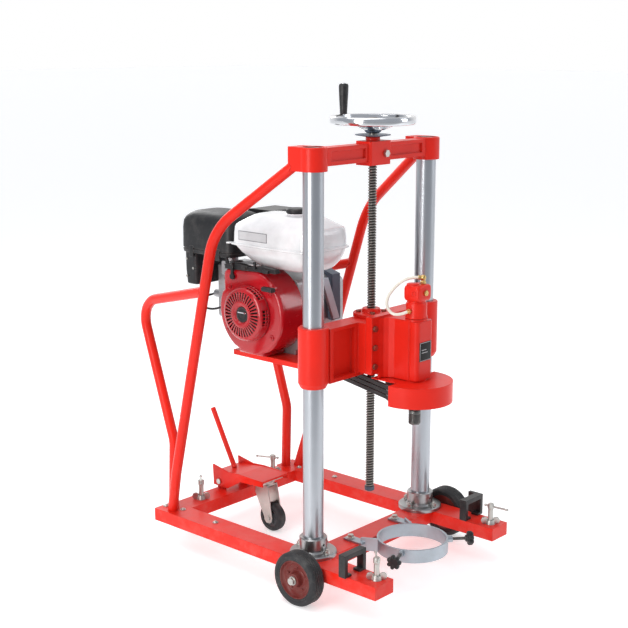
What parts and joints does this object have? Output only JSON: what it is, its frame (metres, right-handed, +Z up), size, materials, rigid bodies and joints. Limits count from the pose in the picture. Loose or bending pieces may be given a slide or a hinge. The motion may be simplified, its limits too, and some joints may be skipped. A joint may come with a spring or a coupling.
{
  "type": "core drill rig",
  "caption": "Twin-column petrol-engine core drilling machine on a wheeled base, with a handwheel-fed carriage, belt-driven wet spindle and core guide ring.",
  "frame": {"origin": "on the floor under the middle of the machine's bounding box", "axes": "+Z up, +Y from the drill spindle towards the engine, +X to the operator's right when facing +Y"},
  "size_m": [0.792, 1.0443, 1.467],
  "materials": {
    "frame_paint": "semi-gloss orange-red paint",
    "engine_paint": "gloss crimson paint",
    "column_chrome": "ground hard chrome",
    "bright_steel": "machined",
    "zinc": "zinc plated",
    "bolts": "zinc plated",
    "ring_metal": "satin",
    "handwheel_metal": "polished",
    "black_handle": "satin black paint",
    "black_plastic": "textured black",
    "tank_shell": "gloss white",
    "engine_alloy": "cast",
    "tyre_rubber": "matt",
    "belt_rubber": "matt",
    "wheel_paint": "red-brown paint",
    "castings": "machined",
    "brass_nut": "machined",
    "hose_rubber": "cream hose"
  },
  "bodies": {
    "frame": {"side_rails": "frame_paint", "front_crossbar": "frame_paint", "rear_crossbeam": "frame_paint", "braces": "frame_paint", "push_handles": "frame_paint", "top_crossbeam": "frame_paint", "columns": "column_chrome", "column_flanges": "bright_steel", "frame_bolts": "bolts", "guide_ring": "ring_metal", "lift_handles": "black_handle", "wheel_axles": "zinc", "jack_wing_nuts": "zinc", "caster_hinge_pin": "zinc"},
    "left_wheel": {"left_tyre": "tyre_rubber", "left_wheel_disc": "wheel_paint"},
    "right_wheel": {"right_tyre": "tyre_rubber", "right_wheel_disc": "wheel_paint"},
    "caster_arm": {"caster_platform": "frame_paint", "caster_lever": "frame_paint", "caster_mount": "zinc"},
    "caster_swivel": {"caster_fork": "zinc"},
    "caster_roller": {"caster_wheel": "tyre_rubber"},
    "feed": {"lead_screw": "bright_steel", "feed_collars": "handwheel_metal", "handwheel": "handwheel_metal"},
    "crank_grip": {"handwheel_grip": "black_plastic"},
    "carriage": {"carriage": "frame_paint", "lead_nut": "brass_nut", "carriage_bolts": "bolts", "drill_head": "frame_paint", "water_swivel": "frame_paint", "water_hose": "hose_rubber", "belt_guard": "frame_paint", "drive_belts": "belt_rubber", "engine_platform": "frame_paint", "engine_block": "engine_alloy", "fan_housing": "engine_paint", "recoil_cover": "engine_paint", "gearbox": "engine_alloy", "fuel_tank": "tank_shell", "air_cleaner": "black_plastic", "muffler": "black_handle", "carburettor": "engine_alloy"},
    "drill_spindle": {"spindle": "bright_steel", "spindle_pulley": "castings"},
    "drive_shaft": {"drive_pulley": "castings"},
    "starter_grip": {"starter_grip": "black_plastic"},
    "fuel_cap": {"fuel_cap": "black_plastic"},
    "throttle_lever": {"throttle_lever": "black_handle"},
    "left_guide_screw": {"left_guide_screw": "zinc"},
    "front_guide_screw": {"front_guide_screw": "zinc"},
    "front_left_jack_foot": {"front_left_jack_foot": "zinc"},
    "front_left_jack_screw": {"front_left_jack_screw": "zinc"},
    "front_right_jack_foot": {"front_right_jack_foot": "zinc"},
    "front_right_jack_screw": {"front_right_jack_screw": "zinc"},
    "rear_left_jack_foot": {"rear_left_jack_foot": "zinc"},
    "rear_left_jack_screw": {"rear_left_jack_screw": "zinc"},
    "rear_right_jack_foot": {"rear_right_jack_foot": "zinc"},
    "rear_right_jack_screw": {"rear_right_jack_screw": "zinc"}
  },
  "joints": [
    {"name": "left_wheel_spin", "type": "hinge", "parent": "frame", "child": "left_wheel", "pos_m": [-0.357, -0.239, 0.08], "axis": [1, 0, 0], "continuous": true},
    {"name": "right_wheel_spin", "type": "hinge", "parent": "frame", "child": "right_wheel", "pos_m": [0.357, -0.239, 0.08], "axis": [1, 0, 0], "continuous": true},
    {"name": "caster_arm_pivot", "type": "hinge", "parent": "frame", "child": "caster_arm", "pos_m": [0, 0.396, 0.141], "axis": [-1, 0, 0], "range_deg": [0, 25]},
    {"name": "caster_swivel_turn", "type": "hinge", "parent": "caster_arm", "child": "caster_swivel", "pos_m": [0, 0.236, 0.155], "axis": [0, 0, 1], "continuous": true},
    {"name": "caster_wheel_spin", "type": "hinge", "parent": "caster_swivel", "child": "caster_roller", "pos_m": [0, 0.206, 0.048], "axis": [1, 0, 0], "continuous": true},
    {"name": "lead_screw_turn", "type": "hinge", "parent": "frame", "child": "feed", "pos_m": [0, -0.204, 1.275], "axis": [0, 0, 1], "range_deg": [-18000, 11700]},
    {"name": "handwheel_grip_spin", "type": "hinge", "parent": "feed", "child": "crank_grip", "pos_m": [0, -0.092, 1.42], "axis": [0, 0, 1], "continuous": true},
    {"name": "carriage_feed", "type": "slide", "parent": "frame", "child": "carriage", "axis": [0, 0, 1], "range_m": [-0.401, 0.261]},
    {"name": "spindle_spin", "type": "hinge", "parent": "carriage", "child": "drill_spindle", "pos_m": [0, -0.372, 0.635], "axis": [0, 0, 1], "continuous": true},
    {"name": "drive_shaft_spin", "type": "hinge", "parent": "carriage", "child": "drive_shaft", "pos_m": [0.135, 0.127, 0.635], "axis": [0, 0, 1], "continuous": true},
    {"name": "starter_pull", "type": "slide", "parent": "carriage", "child": "starter_grip", "axis": [-1, 0, 0], "range_m": [0, 0.6], "stiffness_N_per_m": 30, "springref_m": -0.1},
    {"name": "fuel_cap_turn", "type": "hinge", "parent": "carriage", "child": "fuel_cap", "pos_m": [-0.058, 0.046, 1.081], "axis": [0, 0, 1], "range_deg": [0, 90]},
    {"name": "throttle_swing", "type": "hinge", "parent": "carriage", "child": "throttle_lever", "pos_m": [-0.184, 0.196, 0.881], "axis": [1, 0, 0], "range_deg": [-30, 30]},
    {"name": "left_guide_screw_slide", "type": "slide", "parent": "frame", "child": "left_guide_screw", "axis": [-0.9397, -0.342, 0], "range_m": [-0.03, 0.01]},
    {"name": "front_guide_screw_slide", "type": "slide", "parent": "frame", "child": "front_guide_screw", "axis": [0.7431, -0.6691, 0], "range_m": [-0.03, 0.01]},
    {"name": "front_left_jack_travel", "type": "slide", "parent": "frame", "child": "front_left_jack_foot", "axis": [0, 0, 1], "range_m": [-0.0301, 0.0001]},
    {"name": "front_left_jack_turn", "type": "hinge", "parent": "front_left_jack_foot", "child": "front_left_jack_screw", "pos_m": [-0.281, -0.462, 0.135], "axis": [0, 0, 1], "range_deg": [-2700, 0]},
    {"name": "front_right_jack_travel", "type": "slide", "parent": "frame", "child": "front_right_jack_foot", "axis": [0, 0, 1], "range_m": [-0.0301, 0.0001]},
    {"name": "front_right_jack_turn", "type": "hinge", "parent": "front_right_jack_foot", "child": "front_right_jack_screw", "pos_m": [0.281, -0.462, 0.135], "axis": [0, 0, 1], "range_deg": [-2700, 0]},
    {"name": "rear_left_jack_travel", "type": "slide", "parent": "frame", "child": "rear_left_jack_foot", "axis": [0, 0, 1], "range_m": [-0.0301, 0.0001]},
    {"name": "rear_left_jack_turn", "type": "hinge", "parent": "rear_left_jack_foot", "child": "rear_left_jack_screw", "pos_m": [-0.17, 0.369, 0.135], "axis": [0, 0, 1], "range_deg": [-2700, 0]},
    {"name": "rear_right_jack_travel", "type": "slide", "parent": "frame", "child": "rear_right_jack_foot", "axis": [0, 0, 1], "range_m": [-0.0301, 0.0001]},
    {"name": "rear_right_jack_turn", "type": "hinge", "parent": "rear_right_jack_foot", "child": "rear_right_jack_screw", "pos_m": [0.17, 0.369, 0.135], "axis": [0, 0, 1], "range_deg": [-2700, 0]}
  ],
  "couplings": [
    {"joint": "carriage_feed", "follows": "lead_screw_turn", "m_per_rad": 0.0012732},
    {"joint": "drive_shaft_spin", "follows": "spindle_spin", "ratio": 1.6737},
    {"joint": "front_left_jack_travel", "follows": "front_left_jack_turn", "m_per_rad": 0.00063662},
    {"joint": "front_right_jack_travel", "follows": "front_right_jack_turn", "m_per_rad": 0.00063662},
    {"joint": "rear_left_jack_travel", "follows": "rear_left_jack_turn", "m_per_rad": 0.00063662},
    {"joint": "rear_right_jack_travel", "follows": "rear_right_jack_turn", "m_per_rad": 0.00063662}
  ]
}
